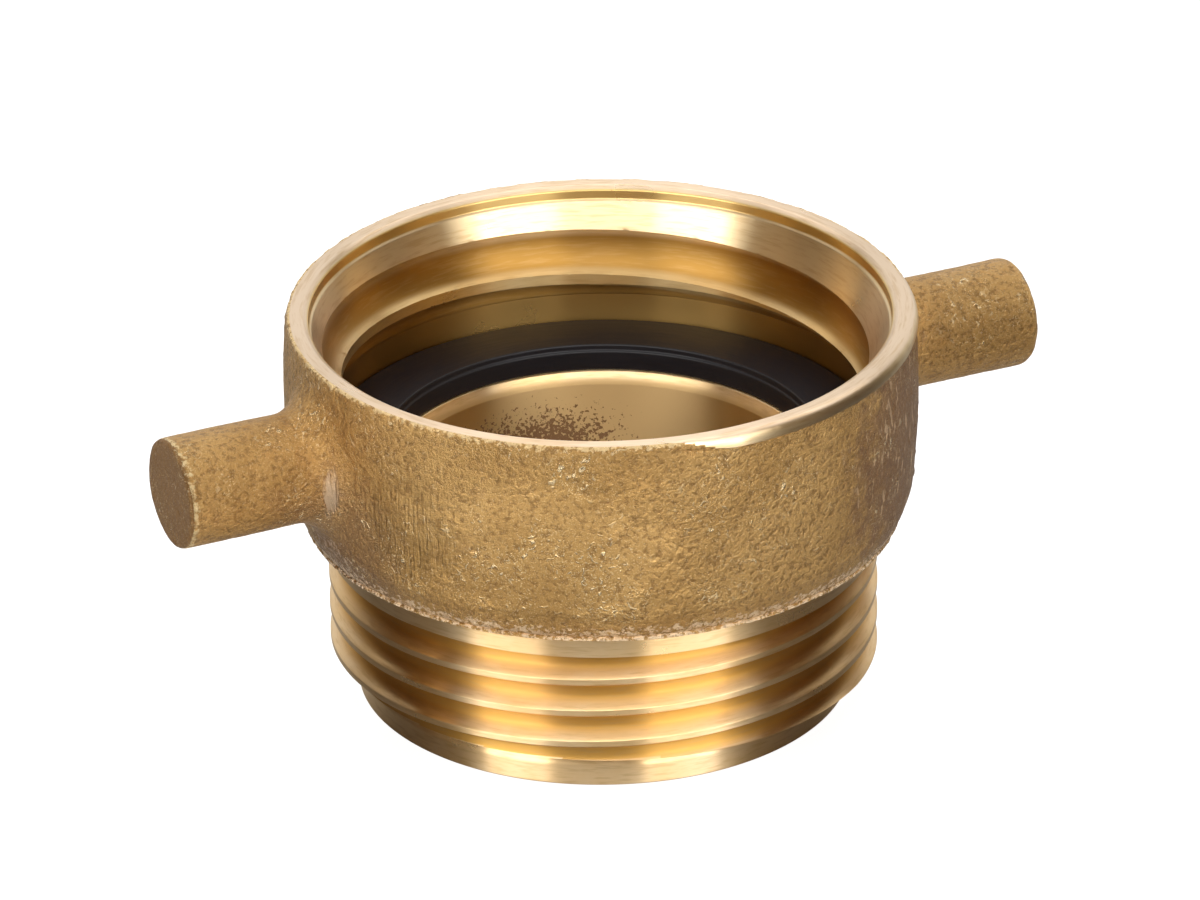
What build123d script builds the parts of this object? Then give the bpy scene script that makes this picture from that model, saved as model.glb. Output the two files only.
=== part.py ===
"""Fire hose adaptor: a one-piece cast brass body and the rubber washer that seals its socket.

The body is a collar with a coarse internal round thread and two pin lugs, over a neck and a
thinner spigot with an external thread. Both threads are right-handed and single-start.

Millimetres. +Z runs up the axis, the spigot's end face is z = 0, and the lugs lie along +X and -X.
A radius and a height always name a point (radius, z) of a section turned about the Z axis.
"""
from build123d import *
import math
import os

# Heights above the spigot's end face
PILOT_TOP_Z = 3.2
GUTTER_Z = 4.2
SHOULDER_Z = 5.4
NECK_FOOT_Z = 23.3
COLLAR_FOOT_Z = 27.6
SEAT_Z = 34.3
RIM_Z = 59.8

# Outside of the body
PILOT_R = 36.9
GUTTER_R = 36.5
NECK_R = 41.0
COLLAR_FOOT_R = 43.9
COLLAR_CORNER = (46.15, 32.8)
COLLAR_BARREL = (46.9, 46.0)
COLLAR_SHOULDER = (46.3, 59.1)
RIM_R = 45.7
PILOT_EDGE = 0.4

# Inside of the body
BORE_R = 30.2
LIP_R = 31.6
LIP_DEPTH = 1.6
RELIEF_R = 41.4
RELIEF_TOP_Z = 42.6
SOCKET_R = 38.4
CONE_R = 42.6
CONE_TOP_Z = 57.6
CONE_SLOPE = 0.55
MOUTH_R = 43.0
MOUTH_FOOT_Z = 57.9
RIM_CHAMFER_R = 43.9
RIM_CHAMFER_DEPTH = 0.6

# External thread: flat crests, straight flanks and a rounded root
MALE_PITCH = 5.08
MALE_CREST = 0.9
MALE_DEPTH = 2.2
MALE_FLANK_DEG = 27.5
MALE_ROOT_FILLET = 0.9
MALE_GROOVE_Z = 13.24  # middle of one groove at the +X lug
MALE_TURNS = 8

# Internal thread: flat crests between grooves of circular section
FEMALE_LEAD = 9.8
FEMALE_CREST = 1.7
FEMALE_DEPTH = 2.9
FEMALE_GROOVE_Z = 39.78  # middle of one groove at the +X lug
FEMALE_TURNS = 4

# Pin lugs
LUG_R = 8.3
LUG_Z = 44.8
LUG_TIP_X = 69.4
LUG_TIP_FILLET = 1.0
LUG_ROOT_FILLET = 3.2
LUG_START_X = 43.5  # inside the collar's wall
SEAM_DEG = 90

# Sealing washer, lying on the seat inside the thread relief
WASHER_INNER_R = 31.9
WASHER_OUTER_R = 41.2
WASHER_THICKNESS = 4.1
WASHER_EDGE = 0.5

CLEARANCE = 3.0  # how far cutting tools run past what they cut


def turned(outline):
    """The solid that a closed (radius, z) outline sweeps about the Z axis, its seam off the lugs."""
    return Rot(0, 0, SEAM_DEG) * revolve(Plane.XZ * make_face(outline), Axis.Z)


def helical_cutter(section, lead, middle_z, first_turn, turns):
    """A groove section, centred on z = 0, swept along a right-handed helix.

    middle_z is the groove's middle height at the +X lug, on any one turn.
    """
    start_z = middle_z + first_turn * lead
    radius = section.center().X
    path = Helix(pitch=lead, height=turns * lead, radius=radius, center=(0, 0, start_z))
    start = Plane(origin=(0, 0, start_z), x_dir=(1, 0, 0), z_dir=(0, -1, 0))
    return sweep(start * section, path=path, is_frenet=True)


def male_groove_section():
    """External groove: open outwards past the crest, with straight flanks and a rounded root."""
    half_width = (MALE_PITCH - MALE_CREST) / 2
    half_root = half_width - MALE_DEPTH * math.tan(math.radians(MALE_FLANK_DEG))
    outer_r = NECK_R + CLEARANCE
    root_r = NECK_R - MALE_DEPTH
    outline = Polyline(
        (outer_r, half_width),
        (NECK_R, half_width),
        (root_r, half_root),
        (root_r, -half_root),
        (NECK_R, -half_width),
        (outer_r, -half_width),
        close=True,
    )
    groove = make_face(outline)
    root_corners = groove.vertices().sort_by(Axis.X)[:2]
    return fillet(root_corners, MALE_ROOT_FILLET)


def female_groove_section():
    """Internal groove: open inwards past the crest, with one circular arc for its root."""
    half_width = (FEMALE_LEAD - FEMALE_CREST) / 2
    inner_r = SOCKET_R - CLEARANCE
    arc = ThreePointArc(
        (SOCKET_R, half_width), (SOCKET_R + FEMALE_DEPTH, 0), (SOCKET_R, -half_width)
    )
    sides = Polyline(
        (SOCKET_R, -half_width), (inner_r, -half_width), (inner_r, half_width), (SOCKET_R, half_width)
    )
    return make_face(arc + sides)


def spigot():
    """External thread, gutter and plain pilot, below the neck."""
    blank = turned(
        Polyline(
            (BORE_R, 0),
            (PILOT_R - PILOT_EDGE, 0),
            (PILOT_R, PILOT_EDGE),
            (PILOT_R, PILOT_TOP_Z),
            (GUTTER_R, GUTTER_Z),
            (GUTTER_R, SHOULDER_Z),
            (NECK_R, SHOULDER_Z),
            (NECK_R, NECK_FOOT_Z),
            (BORE_R, NECK_FOOT_Z),
            close=True,
        )
    )
    groove = helical_cutter(male_groove_section(), MALE_PITCH, MALE_GROOVE_Z, -3, MALE_TURNS)
    return blank - groove


def collar_blank():
    """The cast collar before boring: barrel, rounded foot and neck, with its two lugs."""
    outline = (
        Polyline(
            (COLLAR_FOOT_R, COLLAR_FOOT_Z),
            (NECK_R, COLLAR_FOOT_Z),
            (NECK_R, NECK_FOOT_Z),
            (0, NECK_FOOT_Z),
            (0, RIM_Z),
            (RIM_R, RIM_Z),
            COLLAR_SHOULDER,
        )
        + ThreePointArc(COLLAR_SHOULDER, COLLAR_BARREL, COLLAR_CORNER)
        + ThreePointArc(COLLAR_CORNER, (45.3, 30.4), (COLLAR_FOOT_R, COLLAR_FOOT_Z))
    )
    blank = turned(outline)
    for side in (1, -1):
        blank = blank + lug(side)
    return fillet(blank.edges().filter_by(is_lug_root), LUG_ROOT_FILLET)


def lug(side):
    """One round pin lug with a softened tip, side +1 or -1 along X."""
    length = LUG_TIP_X - LUG_START_X
    plane = Plane(origin=(side * LUG_START_X, 0, LUG_Z), z_dir=(side, 0, 0))
    pin = plane * Cylinder(LUG_R, length, align=(Align.CENTER, Align.CENTER, Align.MIN))
    tip = pin.edges().sort_by(Axis.X)[-1 if side > 0 else 0]
    return fillet(tip, LUG_TIP_FILLET)


def is_lug_root(edge):
    """True for the closed curve where a lug meets the collar's barrel."""
    box = edge.bounding_box()
    centre = edge.center(CenterOf.BOUNDING_BOX)
    return (
        abs(box.size.Y - 2 * LUG_R) < 0.1
        and abs(box.size.Z - 2 * LUG_R) < 0.5
        and COLLAR_FOOT_R < abs(centre.X) < LUG_START_X + LUG_ROOT_FILLET
    )


def bore_cutter():
    """Everything turned out of the collar: bore, lip, thread relief, socket, cone and mouth."""
    relief_corner = RELIEF_R - SOCKET_R
    cone_foot_z = CONE_TOP_Z - (CONE_R - SOCKET_R) / CONE_SLOPE
    return turned(
        Polyline(
            (0, NECK_FOOT_Z - CLEARANCE),
            (BORE_R, NECK_FOOT_Z - CLEARANCE),
            (BORE_R, SEAT_Z - LIP_DEPTH),
            (LIP_R, SEAT_Z),
            (RELIEF_R, SEAT_Z),
            (RELIEF_R, RELIEF_TOP_Z),
            (SOCKET_R, RELIEF_TOP_Z + relief_corner),
            (SOCKET_R, cone_foot_z),
            (CONE_R, CONE_TOP_Z),
            (MOUTH_R, MOUTH_FOOT_Z),
            (MOUTH_R, RIM_Z - RIM_CHAMFER_DEPTH),
            (RIM_CHAMFER_R, RIM_Z),
            (RIM_CHAMFER_R, RIM_Z + CLEARANCE),
            (0, RIM_Z + CLEARANCE),
            close=True,
        )
    )


def coupling_body():
    groove = helical_cutter(female_groove_section(), FEMALE_LEAD, FEMALE_GROOVE_Z, 0, FEMALE_TURNS)
    collar = collar_blank() - bore_cutter() - groove
    return collar + spigot()


def sealing_washer():
    """Flat ring of square section with softened edges, resting on the seat."""
    top_z = SEAT_Z + WASHER_THICKNESS
    return turned(
        Polyline(
            (WASHER_INNER_R + WASHER_EDGE, SEAT_Z),
            (WASHER_OUTER_R - WASHER_EDGE, SEAT_Z),
            (WASHER_OUTER_R, SEAT_Z + WASHER_EDGE),
            (WASHER_OUTER_R, top_z - WASHER_EDGE),
            (WASHER_OUTER_R - WASHER_EDGE, top_z),
            (WASHER_INNER_R + WASHER_EDGE, top_z),
            (WASHER_INNER_R, top_z - WASHER_EDGE),
            (WASHER_INNER_R, SEAT_Z + WASHER_EDGE),
            close=True,
        )
    )


os.makedirs("parts", exist_ok=True)
for node, shape in {"coupling_body": coupling_body(), "sealing_washer": sealing_washer()}.items():
    export_step(shape, f"parts/{node}.step")
    print(node, round(shape.volume), "mm3", shape.bounding_box().size)
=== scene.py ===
"""Looks for the fire hose adaptor: its cast and turned brass body and its rubber washer.

The body is rebuilt here at full detail in four closed meshes: a collar ring with the coarse internal
thread, a spigot with the external thread, and two pin lugs. Each profile row is a ring of vertices
round the Z axis, and the threads are worked out from their helix at every vertex.

Profile sizes are millimetres, as in the part's source, and MM turns them into metres.
"""
import math
from typing import NamedTuple

import bmesh
import bpy
import numpy as np
from mathutils import Matrix, Vector, noise


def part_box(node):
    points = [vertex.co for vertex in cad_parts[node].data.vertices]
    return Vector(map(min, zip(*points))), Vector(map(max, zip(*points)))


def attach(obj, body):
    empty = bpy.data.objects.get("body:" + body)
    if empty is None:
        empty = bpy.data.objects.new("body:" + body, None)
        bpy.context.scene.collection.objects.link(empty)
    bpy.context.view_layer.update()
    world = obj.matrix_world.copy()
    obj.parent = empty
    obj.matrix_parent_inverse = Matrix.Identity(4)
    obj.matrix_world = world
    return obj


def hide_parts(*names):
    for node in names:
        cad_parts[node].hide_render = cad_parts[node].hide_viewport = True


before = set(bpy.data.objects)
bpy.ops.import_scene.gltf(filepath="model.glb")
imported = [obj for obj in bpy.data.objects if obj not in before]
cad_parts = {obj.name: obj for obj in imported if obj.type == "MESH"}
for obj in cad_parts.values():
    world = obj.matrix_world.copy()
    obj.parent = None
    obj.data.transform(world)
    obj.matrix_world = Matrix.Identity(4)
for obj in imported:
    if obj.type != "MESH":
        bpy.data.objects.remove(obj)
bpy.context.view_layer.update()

MM = 0.001
TURN = 2 * math.pi

# Heights above the spigot's end face
BODY_LOW, BODY_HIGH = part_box("coupling_body")
WASHER_LOW, WASHER_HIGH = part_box("sealing_washer")
RIM_Z = BODY_HIGH[2] / MM
SEAT_Z = WASHER_LOW[2] / MM
WASHER_TOP_Z = WASHER_HIGH[2] / MM
PILOT_TOP_Z = 3.2
GUTTER_Z = 4.2
SHOULDER_Z = 5.4
NECK_FOOT_Z = 23.3
COLLAR_FOOT_Z = 27.6

# Outside of the body
PILOT_R = 36.9
GUTTER_R = 36.5
NECK_R = 41.0
RIM_R = 45.7
BARREL_TOP = (46.3, 59.1)
BARREL_MIDDLE = (46.9, 46.0)
BARREL_FOOT = (46.15, 32.8)
CORNER_MIDDLE = (45.3, 30.4)
CORNER_FOOT = (44.4, 28.6)
PILOT_EASE = 0.25

# The ragged ridge round the collar's foot, left where the neck was turned
FLASH_RIDGE = [
    (44.12, 28.42),
    (44.05, 28.25),
    (44.3, 28.05),
    (44.35, 27.85),
    (44.1, 27.68),
    (43.8, 27.6),
]
FLASH_TOP_Z = 28.2  # above this the ridge fades into the cast skin

# Outer edge of the rim, from its flat to the cast skin: turned round on one side, chipped on the other
TURNED_EDGE = [
    (45.5, 59.8),
    (46.1, 59.66),
    (46.5, 59.35),
    (46.75, 58.85),
    (46.84, 58.35),
    (46.8, 57.95),
    (46.5, 57.75),
]
CHIPPED_EDGE = [
    (45.8, 59.8),
    (45.95, 59.78),
    (46.05, 59.75),
    (46.12, 59.7),
    (46.18, 59.64),
    (46.22, 59.56),
    (46.25, 59.45),
]
TURNED_FROM_DEG = 253
TURNED_TO_DEG = 354
EDGE_BLEND_DEG = 18
EDGE_FOOT_Z = 57.2

# Inside of the body
BORE_R = 30.2
LIP_R = 31.6
LIP_DEPTH = 1.6
RELIEF_R = 41.4
RELIEF_TOP_Z = 42.6
RELIEF_CORNER = 0.6
SOCKET_R = 38.4
CONE_R = 42.6
CONE_TOP_Z = 57.6
CONE_SLOPE = 0.55
MOUTH_R = 43.0
MOUTH_FOOT_Z = 57.9
RIM_CHAMFER_R = 43.9
RIM_CHAMFER_DEPTH = 0.6
SEAT_EASE = 0.15
MOUTH_EASE = 0.14

# External thread
MALE_PITCH = 5.08
MALE_CREST = 0.9
MALE_DEPTH = 2.2
MALE_FLANK_DEG = 27.5
MALE_ROOT_BLEND = 0.55
MALE_GROOVE_Z = 13.24  # middle of one groove at the +X lug
MALE_HALF_WIDTH = (MALE_PITCH - MALE_CREST) / 2

# Internal thread
FEMALE_LEAD = 9.8
FEMALE_CREST = 1.7
FEMALE_DEPTH = 2.9
FEMALE_GROOVE_Z = 39.78  # middle of one groove at the +X lug
FEMALE_HALF_WIDTH = (FEMALE_LEAD - FEMALE_CREST) / 2

# Pin lugs
LUG_R = 8.3
LUG_Z = 44.8
LUG_TIP_X = BODY_HIGH[0] / MM
LUG_STRAIGHT_X = 52.2  # where a lug's straight part ends and its root flare starts
LEFT_TIP_ROUND = 0.9
RIGHT_TIP_ROUND = 1.9
LUG_ROOT_FILLET = 4.6
LUG_BURIED = 2.2  # how far a lug's hidden end lies inside the collar's wall

# Rubber washer
WASHER_WIDTH = 9.3
WASHER_EASE = 0.3
WASHER_STEP_DEPTH = 0.35  # the moulding step round the top of its inner wall
WASHER_STEP_HEIGHT = 0.9

# Mesh density
COLUMNS = 600
WASHER_COLUMNS = 360
THREAD_ROW_STEP = 0.25
# Rows of the external thread, as distances from the middle of its groove
MALE_ROW_OFFSETS = [0, 0.25, 0.5, 0.75, 1.0, 1.3, 1.65, MALE_HALF_WIDTH - 0.06, MALE_HALF_WIDTH + 0.04]
SKIN_ROW_STEP = 0.6
# Rows between far corners of plain walls, so that no face there is very long
UNDERSIDE_ROW_R = 42.4
NECK_ROW_Z = 25.5
BORE_ROWS_Z = (12.0, 20.0)
LUG_COLUMNS = 150
LUG_FACE_SHARES = [0.12, 0.3, 0.45, 0.6, 0.72]  # rings on a lug's end face, as shares of its radius
LUG_TIP_STEPS = 7
LUG_FLARE_STEPS = 10
SHARP_DEG = 38  # edges sharper than this stay crisp
WELD_DISTANCE = 2e-6  # metres
COLLAPSED_LENGTH = 1e-7  # metres


# ---------------------------------------------------------------- profiles

def eased_corner(before, corner, after, size, steps=3):
    """Points of a small round that replaces a profile corner, on less than half of either side."""
    before, corner, after = (np.array(point, float) for point in (before, corner, after))
    start = corner + (before - corner) * min(0.45, size / max(np.linalg.norm(before - corner), 1e-6))
    end = corner + (after - corner) * min(0.45, size / max(np.linalg.norm(after - corner), 1e-6))
    points = []
    for step in range(steps + 1):
        t = step / steps
        points.append((1 - t) ** 2 * start + 2 * t * (1 - t) * corner + t ** 2 * end)
    return [tuple(point) for point in points]


def eased_line(points, size):
    """An open profile line with all its inner corners rounded to the same small size."""
    line = [points[0]]
    for before, corner, after in zip(points, points[1:], points[2:]):
        line += eased_corner(before, corner, after, size)
    return line + [points[-1]]


def fine_line(points, step):
    """The same line with no run longer than step."""
    line = [points[0]]
    for start, end in zip(points, points[1:]):
        length = math.dist(start, end)
        pieces = max(1, math.ceil(length / step))
        for piece in range(1, pieces + 1):
            t = piece / pieces
            line.append((start[0] + (end[0] - start[0]) * t, start[1] + (end[1] - start[1]) * t))
    return line


def arc_line(start, middle, end, step):
    """Points on the circle through three profile points."""
    (ax, ay), (bx, by), (cx, cy) = start, middle, end
    d = 2 * (ax * (by - cy) + bx * (cy - ay) + cx * (ay - by))
    ux = ((ax**2 + ay**2) * (by - cy) + (bx**2 + by**2) * (cy - ay) + (cx**2 + cy**2) * (ay - by)) / d
    uy = ((ax**2 + ay**2) * (cx - bx) + (bx**2 + by**2) * (ax - cx) + (cx**2 + cy**2) * (bx - ax)) / d
    radius = math.dist((ux, uy), start)
    first = math.atan2(ay - uy, ax - ux)
    last = math.atan2(cy - uy, cx - ux)
    pieces = max(2, math.ceil(abs(last - first) * radius / step))
    angles = [first + (last - first) * piece / pieces for piece in range(pieces + 1)]
    return [(ux + radius * math.cos(angle), uy + radius * math.sin(angle)) for angle in angles]


def barrel_line():
    """The collar's barrel from its top to the corner under it."""
    return arc_line(BARREL_TOP, BARREL_MIDDLE, BARREL_FOOT, SKIN_ROW_STEP)


def barrel_radius(z):
    """Radius of the collar's barrel at a height."""
    radii, heights = zip(*reversed(barrel_line()))
    return float(np.interp(z, heights, radii))


def wall_point(radius, angle, height):
    """The point at a radius, an angle and a height, in millimetres."""
    return Vector((radius * math.cos(angle), radius * math.sin(angle), height))


def plain_rows(points, columns):
    """One (radius, height) pair of arrays for each profile point, the same all round."""
    return [(np.full(columns, r), np.full(columns, z)) for r, z in points]


# ---------------------------------------------------------------- meshes

def ring_mesh(name, rows, angles, materials, joined_round=True):
    """A mesh of vertex rings, where the last row joins the first.

    rows holds (radius, height) arrays, and materials an index or an array for each band of faces.
    joined_round also joins the last column to the first. It is off where angles end on a full turn.
    """
    row_count = len(rows)
    columns = len(angles)
    radius = np.array([row[0] for row in rows])
    height = np.array([row[1] for row in rows])
    xs = radius * np.cos(angles)
    ys = radius * np.sin(angles)
    verts = np.stack([xs, ys, height], axis=-1).reshape(-1, 3) * MM
    steps = columns if joined_round else columns - 1
    row = np.repeat(np.arange(row_count), steps)
    column = np.tile(np.arange(steps), row_count)
    here = row * columns
    beside = (row + 1) % row_count * columns
    next_column = (column + 1) % columns
    corners = [here + column, here + next_column, beside + next_column, beside + column]
    mesh = bpy.data.meshes.new(name)
    mesh.from_pydata(verts.tolist(), [], np.stack(corners, axis=-1).tolist())
    slots = np.concatenate([np.broadcast_to(material, steps) for material in materials])
    mesh.polygons.foreach_set("material_index", slots.astype(np.int32))
    return mesh


def skin_height(point, amount):
    """As-cast relief in millimetres at a point: slow waves, lumps and sparse pits."""
    waves = 0.10 * noise.fractal(point * 0.09, 1.0, 2.0, 2)
    lumps = 0.045 * noise.fractal(point * 0.55 + Vector((7, 3, 1)), 0.8, 2.1, 3)
    pits = 0.45 * max(0.0, noise.noise(point * 0.8 + Vector((31, 5, 9))) - 0.42)
    mean = 0.07
    return (waves + lumps - pits - mean) * amount


def roughen(mesh, amounts):
    """Moves vertices along their normals by the cast skin's relief, weighted per vertex."""
    mesh.update()
    count = len(mesh.vertices)
    places = np.empty(count * 3, np.float32)
    normals = np.empty(count * 3, np.float32)
    mesh.vertices.foreach_get("co", places)
    mesh.vertex_normals.foreach_get("vector", normals)
    places = places.reshape(-1, 3)
    normals = normals.reshape(-1, 3)
    for index in np.nonzero(np.array(amounts) > 0)[0]:
        places[index] += normals[index] * skin_height(Vector(places[index] / MM), amounts[index]) * MM
    places = np.clip(places, BODY_LOW, BODY_HIGH)
    mesh.vertices.foreach_set("co", places.ravel())


def store_hollow(mesh, depth_at):
    """Saves how deep each vertex lies in a thread, 0 on a land and 1 at a root, for the materials."""
    places = np.empty(len(mesh.vertices) * 3, np.float32)
    mesh.vertices.foreach_get("co", places)
    places = places.reshape(-1, 3) / MM
    depth = depth_at(np.hypot(places[:, 0], places[:, 1]), places[:, 2])
    mesh.attributes.new("hollow", "FLOAT", "POINT").data.foreach_set("value", np.clip(depth, 0, 1))


def merge_and_clean(mesh):
    """Joins vertices that coincide and drops the faces that vanish with them."""
    work = bmesh.new()
    work.from_mesh(mesh)
    bmesh.ops.remove_doubles(work, verts=work.verts, dist=WELD_DISTANCE)
    bmesh.ops.dissolve_degenerate(work, edges=work.edges, dist=COLLAPSED_LENGTH)
    work.to_mesh(mesh)
    work.free()


def turn_outwards(mesh):
    """Makes every face of a closed mesh face outwards."""
    work = bmesh.new()
    work.from_mesh(mesh)
    bmesh.ops.recalc_face_normals(work, faces=work.faces)
    work.to_mesh(mesh)
    work.free()


def finished_piece(name, mesh, slots):
    """Links a mesh as a piece, with its materials, smooth shading with crisp edges, and its ride."""
    for material in slots:
        mesh.materials.append(material)
    turn_outwards(mesh)
    mesh.validate()
    mesh.polygons.foreach_set("use_smooth", [True] * len(mesh.polygons))
    mesh.set_sharp_from_angle(angle=math.radians(SHARP_DEG))
    mesh.update()
    piece = bpy.data.objects.new(name, mesh)
    bpy.context.scene.collection.objects.link(piece)
    weighted = piece.modifiers.new("weighted_normals", "WEIGHTED_NORMAL")
    weighted.keep_sharp = True
    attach(piece, "root")
    return piece


# ---------------------------------------------------------------- threads

def groove_offset(height, angles, lead, middle_z):
    """Distance along Z from the nearest groove middle of a right-handed helix."""
    turns = (height - middle_z) / lead - angles / TURN
    return (turns - np.round(turns)) * lead


def male_radius(height, angles):
    """Radius of the external thread: flat crest, straight flank and rounded root."""
    offset = np.abs(groove_offset(height, angles, MALE_PITCH, MALE_GROOVE_Z))
    slope = 1 / math.tan(math.radians(MALE_FLANK_DEG))
    flank = NECK_R + (offset - MALE_HALF_WIDTH) * slope
    root = NECK_R - MALE_DEPTH
    blended = 0.5 * (flank + root + np.sqrt((flank - root) ** 2 + MALE_ROOT_BLEND ** 2))
    return np.minimum(NECK_R, blended)


def female_groove_radius(height, angles):
    """Radius of the internal thread's round groove, or less than the crest away from it."""
    arc_r = (FEMALE_HALF_WIDTH ** 2 + FEMALE_DEPTH ** 2) / (2 * FEMALE_DEPTH)
    centre_r = SOCKET_R + FEMALE_DEPTH - arc_r
    offset = groove_offset(height, angles, FEMALE_LEAD, FEMALE_GROOVE_Z)
    return centre_r + np.sqrt(np.maximum(arc_r ** 2 - offset ** 2, 0))


def cone_radius(height):
    """Radius of the cone at the socket's mouth, carried on below it."""
    return CONE_R - (CONE_TOP_Z - height) * CONE_SLOPE


def socket_blank_radius(height):
    """Radius inside the socket before its thread is cut: relief corner, crest bore and cone."""
    corner = SOCKET_R + np.maximum(0, RELIEF_TOP_Z + RELIEF_R - SOCKET_R - height)
    return np.maximum(np.minimum(corner, RELIEF_R), cone_radius(height))


def male_rows(angles):
    """Rows of the external thread from its shoulder up to the neck, leaning with the helix."""
    phases = [-offset for offset in MALE_ROW_OFFSETS[1:]] + MALE_ROW_OFFSETS + [MALE_PITCH / 2]
    rows = []
    first_turn = math.floor((SHOULDER_Z - MALE_GROOVE_Z) / MALE_PITCH) - 2
    last_turn = math.ceil((NECK_FOOT_Z - MALE_GROOVE_Z) / MALE_PITCH) + 1
    for turn in range(first_turn, last_turn):
        for phase in sorted(phases):
            height = MALE_GROOVE_Z + (turn + angles / TURN) * MALE_PITCH + phase
            height = np.clip(height, SHOULDER_Z, NECK_FOOT_Z)
            rows.append((male_radius(height, angles), height))
    return rows


def socket_rows(angles):
    """Rows of the socket from the relief to the top of the cone, snapped to the thread's edges."""
    count = math.ceil((CONE_TOP_Z - RELIEF_TOP_Z) / THREAD_ROW_STEP)
    step = (CONE_TOP_Z - RELIEF_TOP_Z) / count
    heights = np.repeat((RELIEF_TOP_Z + step * np.arange(count + 1))[:, None], len(angles), axis=1)
    fine = RELIEF_TOP_Z + step / 10 * np.arange(10 * count + 1)
    for column, angle in enumerate(angles):
        over = female_groove_radius(fine, angle) - socket_blank_radius(fine)
        for edge in np.nonzero(over[:-1] * over[1:] < 0)[0]:
            t = over[edge] / (over[edge] - over[edge + 1])
            crossing = fine[edge] + t * (fine[edge + 1] - fine[edge])
            row = int(round((crossing - RELIEF_TOP_Z) / step))
            if 0 < row < count:
                heights[row, column] = crossing
    rows = []
    for height in heights:
        blank = socket_blank_radius(height)
        rows.append((np.maximum(blank, female_groove_radius(height, angles)), height))
    return rows


def male_depth(radius, height):
    """Share of the external thread's depth at a point, and none on the neck or the pilot."""
    in_thread = (height > SHOULDER_Z) & (height < NECK_FOOT_Z) & (radius > GUTTER_R)
    return np.where(in_thread, (NECK_R - radius) / MALE_DEPTH, 0)


def female_depth(radius, height):
    """Share of the internal thread's depth at a point of the socket or of the relief under it."""
    land = np.maximum(SOCKET_R, cone_radius(height))
    in_socket = (height > SEAT_Z + 0.3) & (height < CONE_TOP_Z) & (radius < RELIEF_R + 0.2)
    return np.where(in_socket, (radius - land) / FEMALE_DEPTH, 0)


# ---------------------------------------------------------------- collar

def turned_share(angles):
    """1 where the rim's outer edge was turned round, 0 where it was left as cast."""
    degrees = np.degrees(angles)
    turned = np.clip((degrees - TURNED_FROM_DEG) / EDGE_BLEND_DEG, 0, 1)
    turned *= np.clip((TURNED_TO_DEG - degrees) / EDGE_BLEND_DEG, 0, 1)
    return turned * turned * (3 - 2 * turned)


def edge_chips(angles):
    """Depth in millimetres of the chips in the rim's outer edge, small where it was turned."""
    chips = []
    for angle in angles:
        place = wall_point(46, angle, 0)
        ripple = 0.25 * noise.fractal(place * 0.8, 0.7, 2.1, 3)
        bite = 1.3 * max(0.0, noise.noise(place * 0.3 + Vector((4, 8, 2))) - 0.1)
        chips.append(ripple + bite)
    return np.array(chips) * (1 - 0.85 * turned_share(angles))


def edge_rows(angles):
    """Rows over the rim's outer edge and down to the barrel, chipped where it wasn't turned."""
    turned = turned_share(angles)
    chips = edge_chips(angles)
    rows = []
    for step, (smooth, rough) in enumerate(zip(TURNED_EDGE, CHIPPED_EDGE)):
        share = step / (len(TURNED_EDGE) - 1)
        radius = rough[0] + (smooth[0] - rough[0]) * turned - 0.25 * share * np.maximum(chips, 0)
        height = rough[1] + (smooth[1] - rough[1]) * turned - share * chips
        rows.append((radius, np.minimum(height, RIM_Z)))
    last_radius, last_height = rows[-1]
    for share in (0.3, 0.6, 1.0):
        radius = last_radius + (barrel_radius(EDGE_FOOT_Z) - last_radius) * min(1.0, 1.4 * share)
        rows.append((radius, last_height + (EDGE_FOOT_Z - last_height) * share))
    return rows


def flash_rows(angles):
    """Rows of the ragged ridge round the collar's foot."""
    ragged = []
    for angle in angles:
        ragged.append(0.16 * noise.fractal(wall_point(44, angle, 3) * 1.1, 0.6, 2.0, 3))
    ragged = np.array(ragged)
    rows = []
    for radius, height in FLASH_RIDGE:
        out = 1.0 if height < FLASH_TOP_Z else 0.3
        rows.append((radius + out * ragged, np.maximum(height + 0.5 * ragged, COLLAR_FOOT_Z)))
    return rows


def seat_line():
    """The bore's upper half, its lip, the washer's seat and the thread relief's wall."""
    points = [
        (BORE_R, COLLAR_FOOT_Z),
        (BORE_R, SEAT_Z - LIP_DEPTH),
        (LIP_R, SEAT_Z),
        (RELIEF_R - RELIEF_CORNER, SEAT_Z),
    ]
    relief = [(RELIEF_R, SEAT_Z + RELIEF_CORNER), (RELIEF_R, RELIEF_TOP_Z - 0.1)]
    return eased_line(points, SEAT_EASE) + relief


def mouth_line():
    """The mouth over the cone, its chamfer and the rim's flat."""
    points = [
        (CONE_R + 0.05, CONE_TOP_Z + 0.05),
        (MOUTH_R, MOUTH_FOOT_Z),
        (MOUTH_R, RIM_Z - RIM_CHAMFER_DEPTH),
        (RIM_CHAMFER_R, RIM_Z),
        (RIM_R - 0.6, RIM_Z),
    ]
    return eased_line(points, MOUTH_EASE)


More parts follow.
